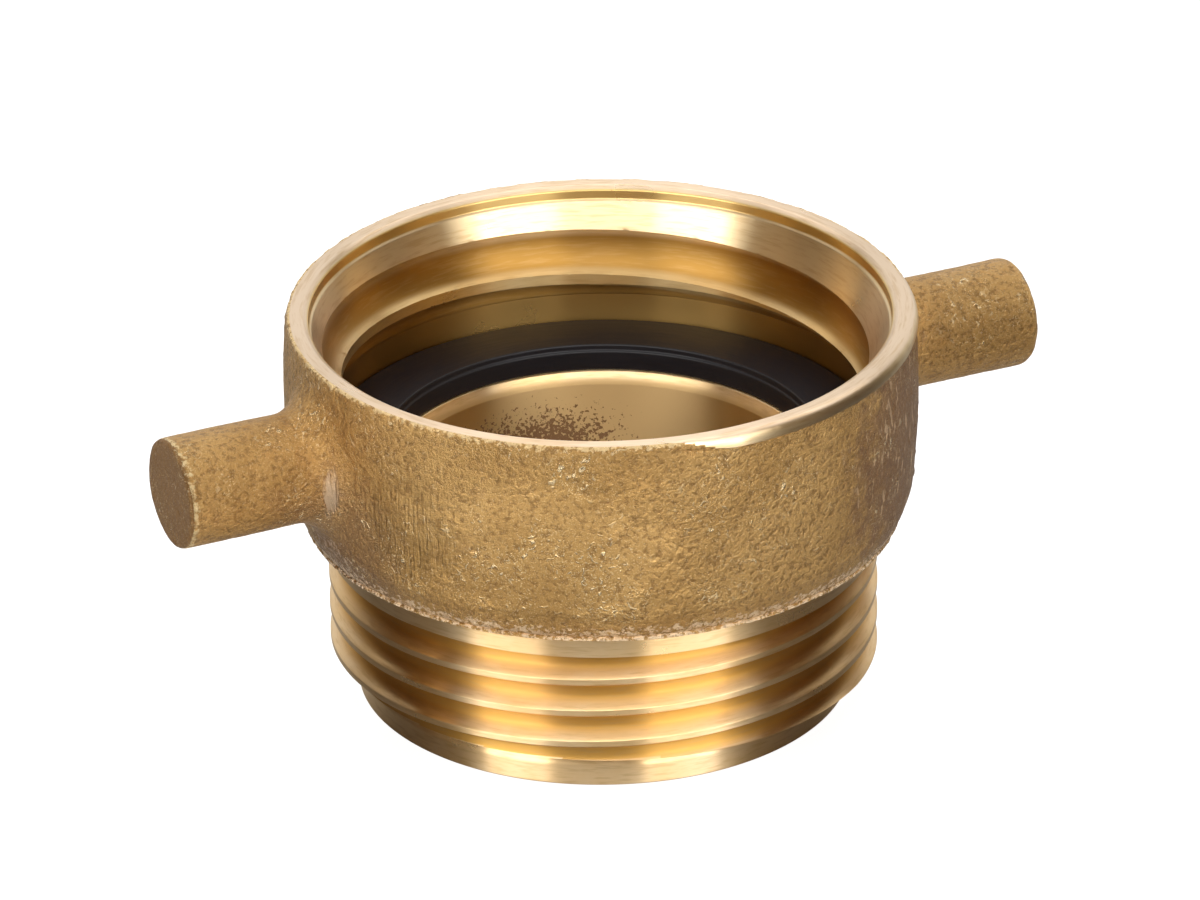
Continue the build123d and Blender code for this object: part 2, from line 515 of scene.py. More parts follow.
def make_collar(slots):
    """The collar ring, closed, from the bore's upper half out over the rim to its foot."""
    angles = TURN * np.arange(COLUMNS) / COLUMNS
    barrel = [point for point in barrel_line() if point[1] < EDGE_FOOT_Z - 0.3]
    corner = arc_line(BARREL_FOOT, CORNER_MIDDLE, CORNER_FOOT, SKIN_ROW_STEP)[1:]
    underside = [(UNDERSIDE_ROW_R, COLLAR_FOOT_Z), (NECK_R, COLLAR_FOOT_Z)]
    rows = plain_rows(seat_line(), COLUMNS) + socket_rows(angles) + plain_rows(mouth_line(), COLUMNS)
    turned_bands = len(rows)
    edge_bands = len(TURNED_EDGE) - 1
    rows += edge_rows(angles) + plain_rows(barrel + corner, COLUMNS) + flash_rows(angles)
    rows += plain_rows(underside, COLUMNS)
    cast_bands = len(rows) - turned_bands - edge_bands - 1
    turned = turned_share(angles)
    materials = [0] * turned_bands
    for band in range(edge_bands):
        materials.append(np.where(turned < (band + 1) / (edge_bands + 1), 1, 0))
    materials += [1] * cast_bands + [0]
    # How much of the cast relief each row takes
    amounts = [0.0] * (turned_bands + edge_bands) + [0.3] + [1.0] * (cast_bands - 2) + [0.0, 0.0]
    mesh = ring_mesh("collar", rows, angles, materials)
    roughen(mesh, np.repeat(amounts, COLUMNS))
    store_hollow(mesh, female_depth)
    return finished_piece("collar", mesh, slots)


# ---------------------------------------------------------------- spigot, lugs and washer

def make_spigot(slots):
    """The neck, external thread, gutter and pilot, closed through the lower bore."""
    angles = TURN * np.arange(COLUMNS + 1) / COLUMNS
    angles[-1] = TURN
    columns = len(angles)
    foot = [
        (BORE_R, BORE_ROWS_Z[0]),
        (BORE_R, 0.0),
        (PILOT_R, 0.0),
        (PILOT_R, PILOT_TOP_Z),
        (GUTTER_R, GUTTER_Z),
        (GUTTER_R, SHOULDER_Z - PILOT_EASE),
    ]
    foot = eased_line(foot, PILOT_EASE) + [(GUTTER_R + PILOT_EASE, SHOULDER_Z)]
    neck_heights = (NECK_FOOT_Z, NECK_FOOT_Z + 0.3, NECK_ROW_Z, COLLAR_FOOT_Z)
    neck = [(NECK_R, height) for height in neck_heights]
    bore = [(BORE_R, COLLAR_FOOT_Z), (BORE_R, BORE_ROWS_Z[1])]
    rows = plain_rows(foot, columns) + male_rows(angles) + plain_rows(neck + bore, columns)
    mesh = ring_mesh("spigot", rows, angles, [0] * len(rows), joined_round=False)
    merge_and_clean(mesh)
    store_hollow(mesh, male_depth)
    return finished_piece("spigot", mesh, slots)


def barrel_x(radius, angle):
    """How far out the barrel lies where a line parallel to X meets it, off the lug's axis."""
    y = radius * math.cos(angle)
    z = LUG_Z + radius * math.sin(angle)
    return math.sqrt(barrel_radius(z) ** 2 - y ** 2)


def root_rise(reach):
    """Height of the root fillet over the barrel at a distance outside the lug's radius."""
    size = LUG_ROOT_FILLET
    return size - math.sqrt(max(0.0, size ** 2 - (size - reach) ** 2))


def lug_line(angle, tip_round):
    """Points from a lug's end face to its buried end: distances from its own axis and from Z."""
    line = [(LUG_R * share, LUG_TIP_X) for share in LUG_FACE_SHARES]
    end_corner = (LUG_R, LUG_TIP_X)
    straight_end = (LUG_R, LUG_STRAIGHT_X)
    tip = eased_corner((0, LUG_TIP_X), end_corner, straight_end, tip_round, LUG_TIP_STEPS)
    line += tip + fine_line([tip[-1], straight_end], SKIN_ROW_STEP)[1:]
    for step in range(LUG_FLARE_STEPS + 1):
        reach = LUG_ROOT_FILLET * (1 - math.cos(math.pi / 2 * step / LUG_FLARE_STEPS))
        radius = LUG_R + reach
        line.append((radius, barrel_x(radius, angle) + root_rise(reach)))
    last_radius, last_x = line[-1]
    line.append((last_radius + 0.3, last_x - 0.35))
    line.append((last_radius, last_x - LUG_BURIED))
    return line


def make_lug(name, side, tip_round, slots):
    """One pin lug, side +1 or -1 along X, whose flared root lies on the collar's barrel."""
    around = TURN * np.arange(LUG_COLUMNS) / LUG_COLUMNS
    columns = [lug_line(angle, tip_round) for angle in around]
    verts = []
    for ring in zip(*columns):
        for angle, (radius, along) in zip(around, ring):
            y = radius * math.cos(angle)
            z = LUG_Z + radius * math.sin(angle)
            verts.append((side * along * MM, y * MM, z * MM))
    last_ring = len(verts) - LUG_COLUMNS
    tip_centre = len(verts)
    verts.append((side * LUG_TIP_X * MM, 0, LUG_Z * MM))
    faces = []
    for ring in range(0, last_ring, LUG_COLUMNS):
        for column in range(LUG_COLUMNS):
            here = ring + column
            beside = ring + (column + 1) % LUG_COLUMNS
            faces.append((here, here + LUG_COLUMNS, beside + LUG_COLUMNS, beside))
    for column in range(LUG_COLUMNS):
        faces.append((tip_centre, column, (column + 1) % LUG_COLUMNS))
    faces.append(tuple(reversed(range(last_ring, tip_centre))))
    if side < 0:
        faces = [face[::-1] for face in faces]
    mesh = bpy.data.meshes.new(name)
    mesh.from_pydata(verts, [], faces)
    face_verts = len(LUG_FACE_SHARES) * LUG_COLUMNS
    roughen(mesh, [0.5] * face_verts + [1.0] * (len(verts) - face_verts))
    mesh.polygons.foreach_set("material_index", [1] * len(mesh.polygons))
    return finished_piece(name, mesh, slots)


def make_washer(slots):
    """The rubber ring, with soft edges and a faint moulding step on its inner wall."""
    angles = TURN * np.arange(WASHER_COLUMNS) / WASHER_COLUMNS
    outer = WASHER_HIGH[0] / MM
    inner = outer - WASHER_WIDTH
    outline = [
        (inner, SEAT_Z + 1.6),
        (inner, SEAT_Z),
        (outer, SEAT_Z),
        (outer, WASHER_TOP_Z),
        (inner + WASHER_STEP_DEPTH, WASHER_TOP_Z),
        (inner + WASHER_STEP_DEPTH, WASHER_TOP_Z - WASHER_STEP_HEIGHT),
        (inner, WASHER_TOP_Z - WASHER_STEP_HEIGHT - 0.15),
        (inner, SEAT_Z + 2.0),
    ]
    rows = plain_rows(eased_line(outline, WASHER_EASE), len(angles))
    mesh = ring_mesh("rubber_washer", rows, angles, [0] * len(rows))
    return finished_piece("rubber_washer", mesh, slots)


# ---------------------------------------------------------------- node trees

class Nodes:
    """Short calls for building a node tree."""

    def __init__(self, tree):
        self.tree = tree

    def add(self, kind, **values):
        node = self.tree.nodes.new(kind)
        for key, value in values.items():
            setattr(node, key, value)
        return node

    def fill(self, socket, value):
        """Links a socket to another node's output, or sets it to a number, a vector or a colour."""
        if isinstance(value, bpy.types.NodeSocket):
            self.tree.links.new(value, socket)
        elif socket.type == "RGBA":
            socket.default_value = (*value, 1)
        else:
            socket.default_value = value

    def math(self, operation, first, second=0.0, clamp=False):
        node = self.add("ShaderNodeMath", operation=operation, use_clamp=clamp)
        self.fill(node.inputs[0], first)
        self.fill(node.inputs[1], second)
        return node.outputs[0]

    def plus(self, first, second):
        return self.math("ADD", first, second)

    def minus(self, first, second):
        return self.math("SUBTRACT", first, second)

    def times(self, first, second):
        return self.math("MULTIPLY", first, second)

    def less(self, share, strength):
        """1, less strength where share is 1."""
        return self.minus(1.0, self.times(share, strength))

    def vector_math(self, operation, first, second=(0, 0, 0)):
        node = self.add("ShaderNodeVectorMath", operation=operation)
        self.fill(node.inputs[0], first)
        self.fill(node.inputs[1], second)
        return node.outputs["Value" if operation in ("LENGTH", "DOT_PRODUCT") else "Vector"]

    def map_range(self, value, low, high, interpolation):
        node = self.add("ShaderNodeMapRange", interpolation_type=interpolation)
        self.fill(node.inputs["From Min"], low)
        self.fill(node.inputs["From Max"], high)
        self.fill(node.inputs["Value"], value)
        return node.outputs["Result"]

    def smooth_step(self, value, low, high):
        return self.map_range(value, low, high, "SMOOTHSTEP")

    def noise(self, vector, scale, detail=3.0, roughness=0.55, w=None):
        node = self.add("ShaderNodeTexNoise", noise_dimensions="4D" if w is not None else "3D")
        self.fill(node.inputs["Scale"], scale)
        self.fill(node.inputs["Detail"], detail)
        self.fill(node.inputs["Roughness"], roughness)
        self.fill(node.inputs["Vector"], vector)
        if w is not None:
            self.fill(node.inputs["W"], w)
        return node.outputs["Fac"]

    def ramp(self, factor, stops):
        node = self.add("ShaderNodeValToRGB")
        elements = node.color_ramp.elements
        while len(elements) < len(stops):
            elements.new(0.5)
        for element, (position, colour) in zip(elements, stops):
            element.position = position
            element.color = (*colour, 1)
        self.fill(node.inputs["Fac"], factor)
        return node.outputs["Color"]

    def mix(self, share, first, second):
        node = self.add("ShaderNodeMix", data_type="RGBA")
        self.fill(node.inputs[0], share)
        self.fill(node.inputs[6], first)
        self.fill(node.inputs[7], second)
        return node.outputs[2]

    def tint(self, base, share, strength, colour):
        """Lays a colour over a base, strength strong where share is 1."""
        return self.mix(self.times(share, strength), base, colour)

    def bump(self, height, distance, normal=None):
        node = self.add("ShaderNodeBump")
        self.fill(node.inputs["Strength"], 1.0)
        self.fill(node.inputs["Distance"], distance)
        self.fill(node.inputs["Height"], height)
        if normal is not None:
            self.fill(node.inputs["Normal"], normal)
        return node.outputs["Normal"]

    def place(self):
        """The point's own coordinates in metres, which are the model's."""
        return self.add("ShaderNodeTexCoord").outputs["Object"]

    def round_axis(self, position):
        """(x, y, z, distance from the Z axis) of a point, in metres."""
        split = self.add("ShaderNodeSeparateXYZ")
        self.fill(split.inputs[0], position)
        x, y, z = split.outputs
        squared = self.plus(self.times(x, x), self.times(y, y))
        return x, y, z, self.math("SQRT", squared)

    def lathe_rings(self, position, scale, **settings):
        """A noise that runs in rings round Z on any turned surface, and varies little along them."""
        x, y, z, radius = self.round_axis(position)
        along_ring = 0.004  # how fast the noise changes round a ring
        node = self.add("ShaderNodeCombineXYZ")
        self.fill(node.inputs[0], self.times(self.math("DIVIDE", x, radius), along_ring))
        self.fill(node.inputs[1], self.times(self.math("DIVIDE", y, radius), along_ring))
        self.fill(node.inputs[2], z)
        return self.noise(node.outputs[0], scale, w=radius, **settings)

    def stretched(self, position, factors):
        """Coordinates scaled along each axis, for marks longer one way than another."""
        return self.vector_math("MULTIPLY", position, factors)

    def closeness(self, position, centre, reach):
        """1 at a centre in millimetres, falling to 0 at the edge of an ellipsoid of that reach."""
        offset = self.vector_math("SUBTRACT", position, Vector(centre) * MM)
        share = self.vector_math("DIVIDE", offset, Vector(reach) * MM)
        return self.math("SUBTRACT", 1.0, self.vector_math("LENGTH", share), clamp=True)

    def speckle(self, amount, grain, low, high):
        """Breaks a soft patch up into specks, closed in its middle and sparse at its edge."""
        return self.smooth_step(self.plus(amount, self.minus(grain, 0.5)), low, high)

    def patch(self, position, area):
        """The share of a ragged area at a point."""
        near = self.closeness(position, area.centre, area.reach)
        grain = self.noise(position, area.grain, detail=area.detail)
        return self.speckle(near, grain, area.low, area.high)

    def nicks(self, position, scale, width, share):
        """Short curved scratches: level lines of one noise, kept where a second one is high."""
        level = self.noise(position, scale, detail=1)
        off_line = self.math("ABSOLUTE", self.minus(level, 0.5))
        line = self.smooth_step(off_line, width, width * 0.3)
        kept = self.smooth_step(self.noise(position, scale * 2.1, detail=0), 0.5 + share, 0.56 + share)
        return self.times(line, kept)


class Patch(NamedTuple):
    """A ragged area of a surface, whose centre and reach are in millimetres.

    grain and detail set the noise that breaks up its edge. It starts at low and is full at high.
    """
    centre: tuple
    reach: tuple
    grain: float
    detail: float
    low: float
    high: float


def on_wall(radius, height, azimuth_deg):
    """A point in millimetres on a wall round Z; azimuth 0 is the +X lug."""
    return tuple(wall_point(radius, math.radians(azimuth_deg), height))


def new_material(name):
    """A material, its node tree's short calls and its shader."""
    material = bpy.data.materials.new(name)
    material.use_nodes = True
    nodes = Nodes(material.node_tree)
    return material, nodes, material.node_tree.nodes["Principled BSDF"]


# ---------------------------------------------------------------- turned brass

LAND_COLOURS = (0.84, 0.58, 0.29), (0.88, 0.65, 0.38)
SOCKET_OLIVE = (0.74, 0.53, 0.22)
# Cone and rim flat: paler colour that paints their washed-out highlights
CONE_PAINTED_HIGHLIGHT = (0.84, 0.67, 0.43)
RIM_PAINTED_HIGHLIGHT = (0.84, 0.65, 0.46)
# Thread roots: amber painted bounce light between brass faces, darker in the socket as painted shade
MALE_ROOT_PAINTED_BOUNCE = (0.66, 0.37, 0.09)
FEMALE_ROOT_PAINTED_BOUNCE_SHADE = (0.46, 0.25, 0.06)
TOOL_MARK_BROWN = (0.58, 0.36, 0.14)
# Mouth wall under the rim: darker gold painted as its shade and bounce light
MOUTH_PAINTED_SHADE = (0.74, 0.50, 0.19)
# Thread relief: dark brown painted as the shade under the socket's thread
RELIEF_PAINTED_SHADE = (0.40, 0.24, 0.075)
OIL_AMBER = (0.66, 0.38, 0.13)
BORE_TAN = (0.66, 0.44, 0.20)
CRUST_BROWN = (0.27, 0.14, 0.07)

CRUST_CENTRE = on_wall(BORE_R, 22.5, 86)
CRUST_REACH = (30, 14, 12)


def turned_colour(nodes, position, hollow, rings, cloud):
    """Pale lands and faint oil stains, each zone of heights in its own tone, with painted light: amber
    bounce light and shade in the thread roots, paler highlights on the cone and rim, and shade on the
    mouth wall and in the relief.
    """
    _, _, height, radius = nodes.round_axis(position)
    in_socket = nodes.smooth_step(height, (RELIEF_TOP_Z - 1) * MM, RELIEF_TOP_Z * MM)
    on_cone = nodes.smooth_step(height, (CONE_TOP_Z - 9) * MM, (CONE_TOP_Z - 6) * MM)
    on_rim = nodes.smooth_step(height, (RIM_Z - 0.5) * MM, (RIM_Z - 0.2) * MM)
    over_cone = nodes.smooth_step(height, (CONE_TOP_Z + 0.1) * MM, (CONE_TOP_Z + 0.4) * MM)
    in_mouth = nodes.smooth_step(radius, (MOUTH_R + 0.3) * MM, (MOUTH_R + 0.1) * MM)
    base = nodes.mix(nodes.smooth_step(cloud, 0.35, 0.7), *LAND_COLOURS)
    base = nodes.tint(base, in_socket, 0.6, SOCKET_OLIVE)
    # Painted highlight: paler colour on the cone and the rim's flat
    base = nodes.tint(base, on_cone, 0.7, CONE_PAINTED_HIGHLIGHT)
    base = nodes.mix(on_rim, base, RIM_PAINTED_HIGHLIGHT)
    # Painted bounce light and shade in the thread roots, deepest in the socket
    root = nodes.mix(in_socket, MALE_ROOT_PAINTED_BOUNCE, FEMALE_ROOT_PAINTED_BOUNCE_SHADE)
    deep = nodes.plus(hollow, nodes.times(nodes.times(hollow, in_socket), 0.8))
    base = nodes.mix(nodes.smooth_step(deep, 0.3, 1.0), base, root)
    base = nodes.tint(base, nodes.smooth_step(rings, 0.45, 0.7), 0.4, TOOL_MARK_BROWN)
    # Painted shade and bounce light on the mouth wall
    base = nodes.mix(nodes.times(over_cone, in_mouth), base, MOUTH_PAINTED_SHADE)
    # Painted shade in the thread relief
    base = nodes.mix(relief_share(nodes, height), base, RELIEF_PAINTED_SHADE)
    oil = nodes.smooth_step(nodes.noise(position, 55, detail=1), 0.55, 0.75)
    return nodes.tint(base, oil, 0.3, OIL_AMBER)


def relief_share(nodes, height):
    """1 in the thread relief, from the seat up to the socket's thread."""
    under_thread = nodes.smooth_step(height, (RELIEF_TOP_Z + 1) * MM, (RELIEF_TOP_Z - 0.5) * MM)
    over_seat = nodes.smooth_step(height, SEAT_Z * MM, (SEAT_Z + 0.5) * MM)
    return nodes.times(under_thread, over_seat)


def bore_crust(nodes, position, in_bore):
    """The speckled crust on the bore's far wall."""
    near = nodes.closeness(position, CRUST_CENTRE, CRUST_REACH)
    grain = nodes.noise(position, 1800, detail=3, roughness=0.6)
    return nodes.times(nodes.speckle(nodes.times(near, 0.52), grain, 0.3, 0.34), in_bore)


def turned_brass():
    """Lathe-turned brass: rings of tool marks, pale lands, roots painted amber as bounce light and shade,
    and a stained bore.
    """
    material, nodes, shader = new_material("turned_brass")
    position = nodes.place()
    _, _, height, radius = nodes.round_axis(position)
    rings = nodes.lathe_rings(position, 2400, detail=2, roughness=0.6)
    cloud = nodes.noise(position, 90, detail=4)
    hollow = nodes.add("ShaderNodeAttribute", attribute_name="hollow").outputs["Fac"]
    in_bore = nodes.smooth_step(radius, (LIP_R - 0.4) * MM, (BORE_R + 0.1) * MM)
    crust = bore_crust(nodes, position, in_bore)
    base = turned_colour(nodes, position, hollow, rings, cloud)
    base = nodes.mix(in_bore, base, BORE_TAN)
    nodes.fill(shader.inputs["Base Color"], nodes.tint(base, crust, 0.9, CRUST_BROWN))

    thread = nodes.times(hollow, nodes.minus(1.0, relief_share(nodes, height)))
    roughness = nodes.plus(0.24, nodes.times(cloud, 0.1))
    for area, rise in ((thread, 0.14), (in_bore, 0.2), (crust, 0.2)):
        roughness = nodes.plus(roughness, nodes.times(area, rise))
    nodes.fill(shader.inputs["Roughness"], roughness)
    nodes.fill(shader.inputs["Normal"], nodes.bump(crust, 0.00008, nodes.bump(rings, 0.000012)))
    tangent = nodes.add("ShaderNodeTangent", direction_type="RADIAL", axis="Z")
    nodes.fill(shader.inputs["Tangent"], tangent.outputs[0])
    shader.inputs["Metallic"].default_value = 1.0
    shader.inputs["Anisotropic"].default_value = 1.0
    shader.inputs["Anisotropic Rotation"].default_value = 0.25
    return material


# ---------------------------------------------------------------- cast brass

SKIN_COLOURS = (0.52, 0.305, 0.105), (0.64, 0.39, 0.145)
HOLLOW_BROWN = (0.30, 0.165, 0.06)
CORNER_BROWN = (0.24, 0.13, 0.07)
FLANK_BROWN = (0.25, 0.13, 0.07)
STREAK_TAN = (0.85, 0.60, 0.36)
LUG_ROOT_BROWN = (0.27, 0.145, 0.075)
LUG_TIP_BROWN = (0.28, 0.145, 0.06)
# Gold specks painted as the glints of the skin's small facets
PAINTED_GLINT_GOLD = (0.92, 0.70, 0.38)
NICK_GOLD = (0.94, 0.76, 0.46)
FOOT_CRUMB_CREAM = (1.0, 0.80, 0.56)
# Left lug's tip edge: specks that are partly edge wear and partly a painted highlight
TIP_WEAR_AND_HIGHLIGHT_GOLD = (0.96, 0.78, 0.44)
CORNER_CRUMB_TAN = (0.90, 0.68, 0.48)
RIM_CRUMB_GOLD = (0.94, 0.71, 0.38)
WITNESS_TAN = (0.74, 0.55, 0.38)

DRESSED = Patch(on_wall(46.8, 42, 236), (34, 34, 22), grain=160, detail=4, low=0.25, high=0.6)
DARK_CORNER = Patch(on_wall(46, 30, 186), (20, 16, 9), grain=500, detail=4, low=0.25, high=0.6)
DARK_FLANK = Patch(on_wall(46.8, 44, 318), (24, 24, 26), grain=300, detail=5, low=0.1, high=0.5)
DARK_LUG_ROOT = Patch(on_wall(46.8, 36, 191), (17, 17, 17), grain=300, detail=5, low=0.1, high=0.6)
FILED_CENTRE = on_wall(46.8, 43, 208)
FILED_REACH = (12, 12, 13)
WITNESS_CENTRE = (-47.7, -8.4, 44.0)
WITNESS_REACH = (1.5, 3.8, 6.2)
LEFT_TIP_CENTRE = (-LUG_TIP_X, 0, LUG_Z)
LEFT_TIP_REACH = (1.2, 16, 16)


def browned_skin(nodes, position, crumple, corner):
    """The skin's own colour, brown in its hollows and where it was never dressed."""
    cloud = nodes.noise(position, 70, detail=4)
    base = nodes.mix(nodes.smooth_step(cloud, 0.35, 0.65), *SKIN_COLOURS)
    base = nodes.tint(base, nodes.smooth_step(crumple, 0.52, 0.38), 0.75, HOLLOW_BROWN)
    base = nodes.tint(base, corner, 0.6, CORNER_BROWN)
    flank = nodes.patch(position, DARK_FLANK)
    base = nodes.tint(base, flank, 0.8, FLANK_BROWN)
    streaks = nodes.noise(nodes.stretched(position, (1, 1, 0.3)), 1100, detail=3)
    streaks = nodes.smooth_step(streaks, 0.58, 0.66)
    base = nodes.tint(base, nodes.times(streaks, flank), 0.6, STREAK_TAN)
    base = nodes.tint(base, nodes.patch(position, DARK_LUG_ROOT), 0.5, LUG_ROOT_BROWN)
    left_tip = nodes.smooth_step(nodes.closeness(position, LEFT_TIP_CENTRE, LEFT_TIP_REACH), 0.1, 0.4)
    return nodes.tint(base, left_tip, 0.8, LUG_TIP_BROWN)


def left_tip_edge(nodes, x):
    """1 round the edge of the left lug's tip, 0 on its end face and along it."""
    near_tip = nodes.smooth_step(x, -(LUG_TIP_X - 2.6) * MM, -(LUG_TIP_X - 0.9) * MM)
    off_face = nodes.smooth_step(x, -(LUG_TIP_X - 0.15) * MM, -(LUG_TIP_X - 0.6) * MM)
    return nodes.times(near_tip, off_face)


def witness_mark(nodes, position):
    """The pale, upright, streaky mark beside the left lug's root."""
    near = nodes.closeness(position, WITNESS_CENTRE, WITNESS_REACH)
    streaks = nodes.noise(nodes.stretched(position, (1, 1, 0.1)), 1500, detail=2)
    return nodes.speckle(near, streaks, 0.2, 0.6)


def cast_brass():
    """As-cast brass skin: crumpled and nicked, satin where it was dressed, brown in its hollows, with
    painted glints.
    """
    material, nodes, shader = new_material("cast_brass")
    position = nodes.place()
    x, _, height, radius = nodes.round_axis(position)
    crumple = nodes.noise(position, 1100, detail=6, roughness=0.7)
    grain = nodes.noise(position, 4200, detail=3, roughness=0.6)
    clusters = nodes.smooth_step(nodes.noise(position, 130, detail=3), 0.46, 0.62)
    nicks = nodes.times(nodes.nicks(position, 540, 0.04, 0.08), clusters)
    low_edge = nodes.smooth_step(height, (COLLAR_FOOT_Z + 6.4) * MM, (COLLAR_FOOT_Z + 1.4) * MM)
    top_edge = nodes.smooth_step(height, (EDGE_FOOT_Z - 0.4) * MM, (EDGE_FOOT_Z + 3.2) * MM)
    corner = nodes.patch(position, DARK_CORNER)
    witness = witness_mark(nodes, position)

    base = browned_skin(nodes, position, crumple, corner)
    # Painted glints: gold specks in the colour, denser in clusters, where the skin is also a little
    # smoother
    glints = nodes.plus(0.35, nodes.times(clusters, 0.6))
    glint_specks = nodes.times(nodes.smooth_step(grain, 0.56, 0.66), glints)
    base = nodes.mix(glint_specks, base, PAINTED_GLINT_GOLD)
    base = nodes.tint(base, nicks, 0.8, NICK_GOLD)
    crumbs = nodes.noise(position, 1300, detail=4, roughness=0.65)
    # Each area's mask and weight, where its specks start and are full, and their strength and colour
    crumbed_areas = (
        (low_edge, 0.56, 0.5, 0.6, 0.8, FOOT_CRUMB_CREAM),
        # Round the left lug's tip: edge wear and a painted highlight
        (left_tip_edge(nodes, x), 0.54, 0.46, 0.6, 0.8, TIP_WEAR_AND_HIGHLIGHT_GOLD),
        (corner, 0.5, 0.48, 0.58, 0.5, CORNER_CRUMB_TAN),
        (top_edge, 0.7, 0.55, 0.65, 0.8, RIM_CRUMB_GOLD),
    )
    for area, amount, low, high, strength, colour in crumbed_areas:
        specks = nodes.speckle(nodes.times(area, amount), crumbs, low, high)
        base = nodes.tint(base, specks, strength, colour)
    nodes.fill(shader.inputs["Base Color"], nodes.tint(base, witness, 0.6, WITNESS_TAN))

    roughness = nodes.minus(0.38, nodes.times(glint_specks, 0.12))
    roughness = nodes.minus(roughness, nodes.times(nicks, 0.12))
    nodes.fill(shader.inputs["Roughness"], roughness)

    dressed = nodes.patch(position, DRESSED)
    filed = nodes.smooth_step(nodes.closeness(position, FILED_CENTRE, FILED_REACH), 0.1, 0.5)
    strokes = nodes.noise(nodes.stretched(position, (1, 1, 0.06)), 2200, detail=2)
    dents = nodes.smooth_step(nodes.noise(position, 210, detail=2), 0.70, 0.78)
    on_lug = nodes.smooth_step(radius, 49 * MM, 54 * MM)
    crumpled = nodes.math("MAXIMUM", nodes.less(dressed, 0.75), nodes.math("MAXIMUM", low_edge, top_edge))
    crumpled = nodes.times(crumpled, nodes.less(witness, 0.8))
    crumpled = nodes.times(crumpled, nodes.less(filed, 0.6))
    crumpled = nodes.times(crumpled, nodes.plus(1.0, nodes.times(on_lug, 0.7)))
    relief = nodes.bump(nodes.times(crumple, crumpled), 0.0007)
    relief = nodes.bump(grain, 0.00006, relief)
    relief = nodes.bump(nodes.times(strokes, filed), 0.00016, relief)
    relief = nodes.bump(nodes.minus(nicks, dents), 0.00012, relief)
    nodes.fill(shader.inputs["Normal"], relief)
    shader.inputs["Metallic"].default_value = 1.0
    return material


# ---------------------------------------------------------------- rubber

# Black rubber, with a blue tint that paints its cool sheen
RUBBER_BLACK_AND_PAINTED_SHEEN = (0.0035, 0.003, 0.0045), (0.008, 0.007, 0.0105)


def black_rubber():
    """Moulded black rubber with a soft cool sheen and faint rings; the cool tint in its colour is a
    painted sheen.
    """
    material, nodes, shader = new_material("black_rubber")
    rings = nodes.lathe_rings(nodes.place(), 1500)
    nodes.fill(shader.inputs["Base Color"], nodes.mix(rings, *RUBBER_BLACK_AND_PAINTED_SHEEN))
    nodes.fill(shader.inputs["Normal"], nodes.bump(rings, 0.00004))
    nodes.fill(shader.inputs["Roughness"], nodes.plus(0.38, nodes.times(rings, 0.15)))
    shader.inputs["Specular IOR Level"].default_value = 0.35
    return material


# ---------------------------------------------------------------- studio

CAMERA_AZIMUTH_DEG = -25.11
CAMERA_ELEVATION_DEG = 26.44
CAMERA_ROLL_DEG = -0.664
CAMERA_DISTANCE = 27.08 * RIM_R * MM
CAMERA_RIGHT_SHIFT = -0.0009 * RIM_R * MM
CAMERA_UP_SHIFT = -0.4558 * RIM_R * MM
LENS = 252  # millimetres, on a sensor 36 wide
SENSOR_WIDTH = 36

# Colour round the part, from the camera's side (0) over the dark brown wings to the backdrop (1)
ROOM_COLOURS = [
    (0.25, (0.30, 0.28, 0.24)),
    (0.35, (0.24, 0.19, 0.14)),
    (0.45, (0.12, 0.075, 0.045)),
    (0.55, (0.06, 0.032, 0.016)),
    (0.66, (0.06, 0.034, 0.020)),
    (0.75, (0.16, 0.125, 0.09)),
    (0.83, (0.45, 0.42, 0.38)),
    (0.90, (0.85, 0.84, 0.82)),
    (1.00, (1.0, 1.0, 1.0)),
]

# Lamps: azimuth from the camera and elevation in degrees, then distance, (width, height), radiance
SOFTBOXES = {
    "left_softbox": (-39, 15.5, 1.4, (0.72, 0.78), 3.2),
    "right_softbox": (33.5, 15.5, 1.4, (0.83, 0.78), 3.2),
    "front_bank": (0, 47, 1.5, (3.8, 1.1), 3.0),
    "top_bank": (180, 62, 1.6, (2.4, 0.9), 1.2),
}
LAMP_AIM = Vector((0, 0, 0.03))

FLOOR_SIZE = 8
FLOOR_GREY = (0.30, 0.30, 0.30)
FLOOR_METALLIC = 0.7
FLOOR_ROUGHNESS = 0.22
FLOOR_LIFT = 0.92  # light that the floor shows to the camera alone, which brings it up to white


def camera_axes(azimuth_deg, elevation_deg):
    """Right, up and back directions of a level view; azimuth 0 looks along +Y."""
    azimuth = math.radians(azimuth_deg)
    elevation = math.radians(elevation_deg)
    level = math.cos(elevation)
    right = Vector((math.cos(azimuth), math.sin(azimuth), 0))
    back = Vector((math.sin(azimuth) * level, -math.cos(azimuth) * level, math.sin(elevation)))
    return right, back.cross(right), back


def make_camera():
    """A long lens aimed a little below the rim, rolled by a fraction of a degree."""
    right, up, back = camera_axes(CAMERA_AZIMUTH_DEG, CAMERA_ELEVATION_DEG)
    roll = math.radians(CAMERA_ROLL_DEG)
    rolled_right = right * math.cos(roll) + up * math.sin(roll)
    rolled_up = up * math.cos(roll) - right * math.sin(roll)
    place = Vector((0, 0, BODY_HIGH[2])) + back * CAMERA_DISTANCE
    place += rolled_right * CAMERA_RIGHT_SHIFT + rolled_up * CAMERA_UP_SHIFT
    data = bpy.data.cameras.new("camera")
    data.lens = LENS
    data.sensor_width = SENSOR_WIDTH
    data.clip_start = 0.05
    data.clip_end = 20
    camera = bpy.data.objects.new("camera", data)
    rotation = Matrix((rolled_right, rolled_up, back)).transposed().to_4x4()
    camera.matrix_world = Matrix.Translation(place) @ rotation
    bpy.context.scene.collection.objects.link(camera)
    bpy.context.scene.camera = camera


